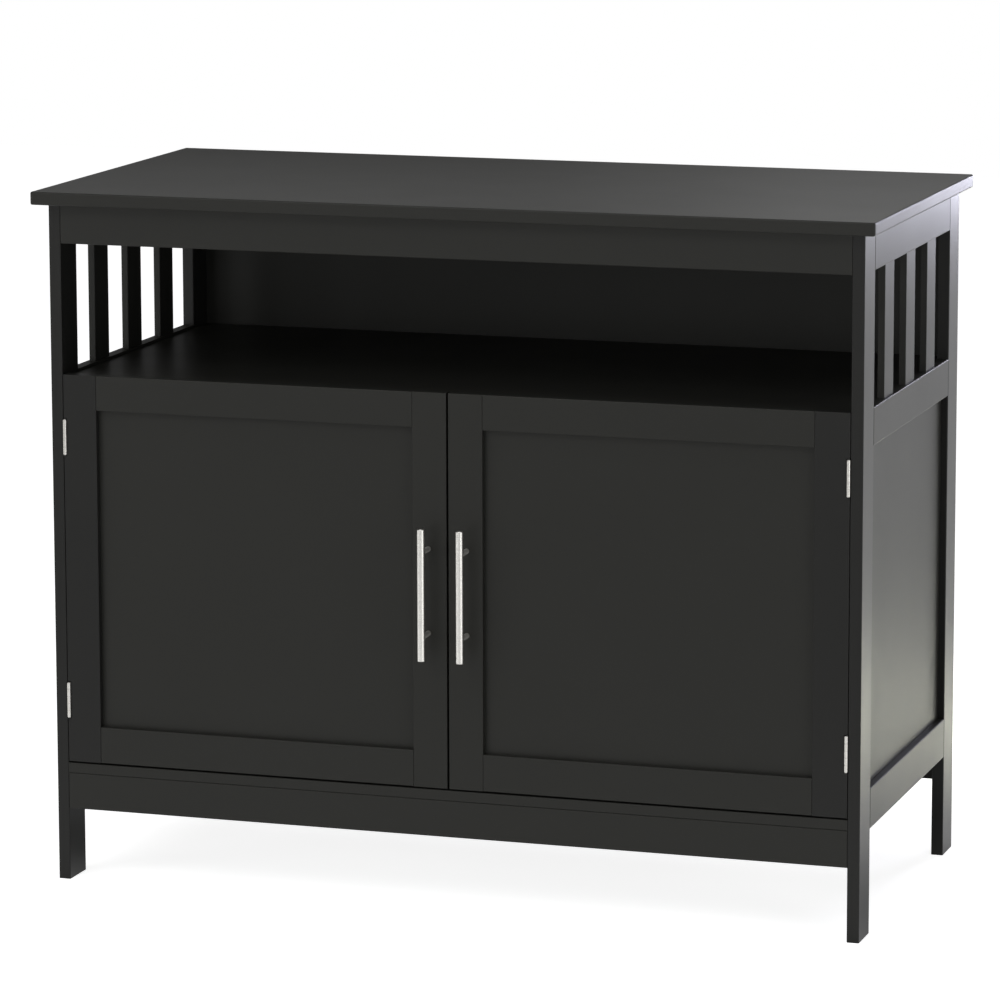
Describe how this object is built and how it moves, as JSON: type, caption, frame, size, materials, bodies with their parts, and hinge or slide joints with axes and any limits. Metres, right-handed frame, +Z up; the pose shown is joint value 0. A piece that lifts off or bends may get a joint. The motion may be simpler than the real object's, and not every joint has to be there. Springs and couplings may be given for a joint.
{
  "type": "kitchen sideboard",
  "caption": "Low black sideboard with an overhanging top, an open slatted bay and a cabinet below closed by framed doors with bar handles.",
  "frame": {"origin": "on the floor, in the middle of the bounding box of the whole object, handles included", "axes": "+X to the right along the length seen from the front, +Y towards the back, +Z up"},
  "size_m": [0.98, 0.492, 0.8],
  "materials": {
    "black_lacquered_board": "satin black lacquer over smooth wood board",
    "black_hardboard": "satin black lacquer on thin board",
    "satin_nickel": "satin nickel",
    "nickel_plated_steel": "nickel plate, semi-bright",
    "plated_steel": "zinc plate",
    "zinc_alloy": "die cast",
    "beech": "bare wood",
    "black_plastic": "moulded",
    "magnet": "steel-faced magnet"
  },
  "bodies": {
    "carcass": {"top_panel": "black_lacquered_board", "left_front_leg": "black_lacquered_board", "left_back_leg": "black_lacquered_board", "left_top_side_rail": "black_lacquered_board", "left_middle_side_rail": "black_lacquered_board", "left_bottom_side_rail": "black_lacquered_board", "left_slat_1": "black_lacquered_board", "left_slat_2": "black_lacquered_board", "left_slat_3": "black_lacquered_board", "right_front_leg": "black_lacquered_board", "right_back_leg": "black_lacquered_board", "right_top_side_rail": "black_lacquered_board", "right_middle_side_rail": "black_lacquered_board", "right_bottom_side_rail": "black_lacquered_board", "right_slat_1": "black_lacquered_board", "right_slat_2": "black_lacquered_board", "right_slat_3": "black_lacquered_board", "front_top_rail": "black_lacquered_board", "front_apron": "black_lacquered_board", "back_top_rail": "black_lacquered_board", "back_bottom_rail": "black_lacquered_board", "bay_shelf": "black_lacquered_board", "cabinet_floor": "black_lacquered_board", "adjustable_shelf": "black_lacquered_board", "left_side_panel": "black_hardboard", "right_side_panel": "black_hardboard", "back_panel": "black_hardboard", "shelf_pins": "plated_steel", "cam_locks": "zinc_alloy", "cam_bolts": "plated_steel", "dowels": "beech", "top_screws": "plated_steel", "catch_housing": "black_plastic", "catch_magnets": "magnet", "left_frame_hinge_leaves": "nickel_plated_steel", "right_frame_hinge_leaves": "nickel_plated_steel", "hinge_pins": "nickel_plated_steel", "carcass_screws": "plated_steel"},
    "left_door": {"left_door_hinge_stile": "black_lacquered_board", "left_door_meeting_stile": "black_lacquered_board", "left_door_top_rail": "black_lacquered_board", "left_door_bottom_rail": "black_lacquered_board", "left_door_panel": "black_hardboard", "left_door_hinge_leaves": "nickel_plated_steel", "left_handle_bar": "satin_nickel", "left_handle_posts": "satin_nickel", "left_handle_screws": "plated_steel", "left_door_strike_plate": "plated_steel", "left_door_screws": "plated_steel"},
    "right_door": {"right_door_hinge_stile": "black_lacquered_board", "right_door_meeting_stile": "black_lacquered_board", "right_door_top_rail": "black_lacquered_board", "right_door_bottom_rail": "black_lacquered_board", "right_door_panel": "black_hardboard", "right_door_hinge_leaves": "nickel_plated_steel", "right_handle_bar": "satin_nickel", "right_handle_posts": "satin_nickel", "right_handle_screws": "plated_steel", "right_door_strike_plate": "plated_steel", "right_door_screws": "plated_steel"}
  },
  "joints": [
    {"name": "left_door_hinge", "type": "hinge", "parent": "carcass", "child": "left_door", "pos_m": [-0.4589, -0.2165, 0.365], "axis": [0, 0, -1], "range_deg": [0, 170]},
    {"name": "right_door_hinge", "type": "hinge", "parent": "carcass", "child": "right_door", "pos_m": [0.4589, -0.2165, 0.365], "axis": [0, 0, 1], "range_deg": [0, 170]}
  ]
}
